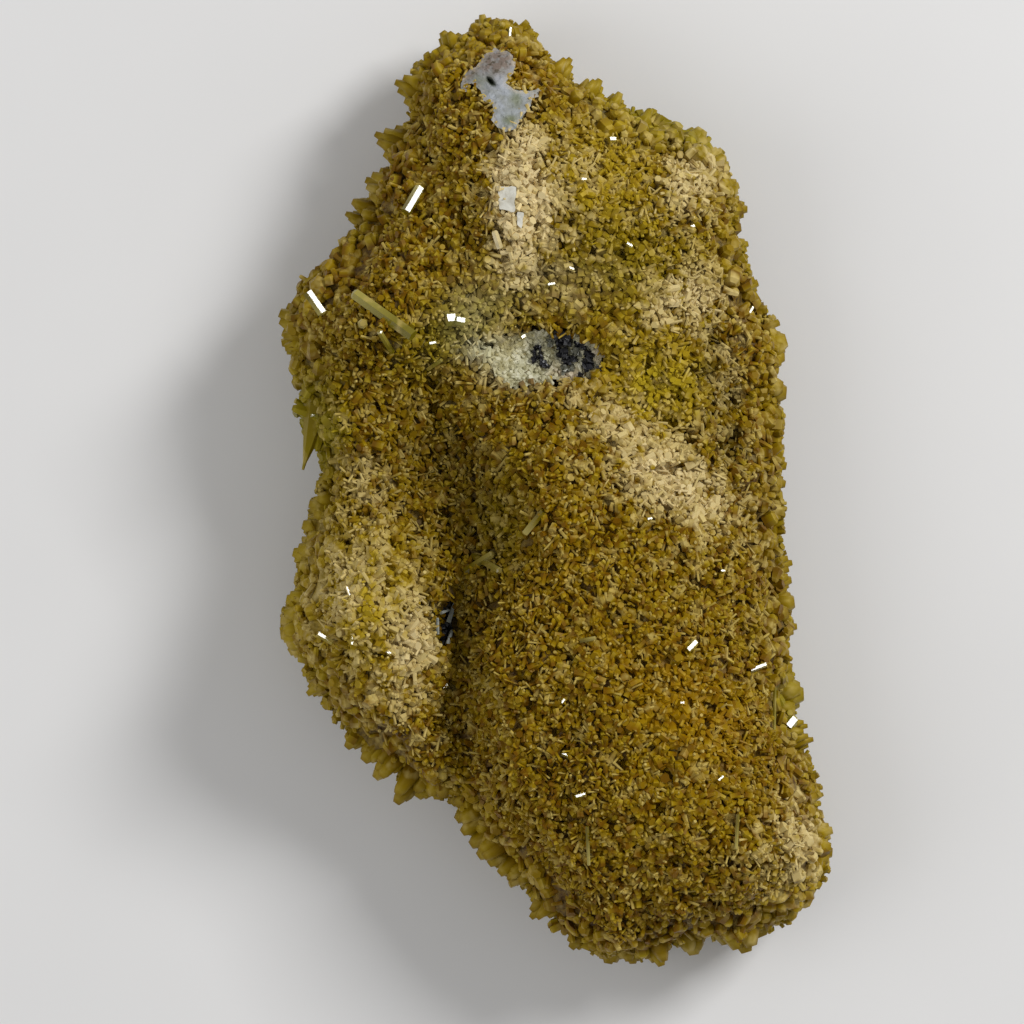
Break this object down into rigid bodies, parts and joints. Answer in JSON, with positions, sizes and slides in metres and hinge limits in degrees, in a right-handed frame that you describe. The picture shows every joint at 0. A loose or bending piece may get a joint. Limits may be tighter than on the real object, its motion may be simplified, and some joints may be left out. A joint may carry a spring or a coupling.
{
  "type": "pyromorphite specimen",
  "caption": "Natural mineral specimen: a lumpy crust of small hexagonal prisms grown over a slab of rock, lying crystal side up, for display or study.",
  "frame": {"origin": "middle of the specimen's bounding box in plan, on the surface that it rests on", "axes": "+Y runs along the specimen to its narrow end, which is the picture's top; +X is to the picture's right; +Z points out of the crystal-covered face, towards the picture's camera"},
  "size_m": [0.0588, 0.1002, 0.0278],
  "materials": {
    "rock": "rough, broken",
    "pyromorphite": "resinous, olive-gold, slightly translucent",
    "pale_mineral": "dull, finely granular",
    "dark_ore": "glinting, broken"
  },
  "bodies": {
    "root": {"matrix": "rock", "crystal_crust": "pyromorphite", "pale_patch": "pale_mineral", "dark_ore_hollow": "dark_ore", "dark_ore_pit": "dark_ore"}
  },
  "joints": []
}
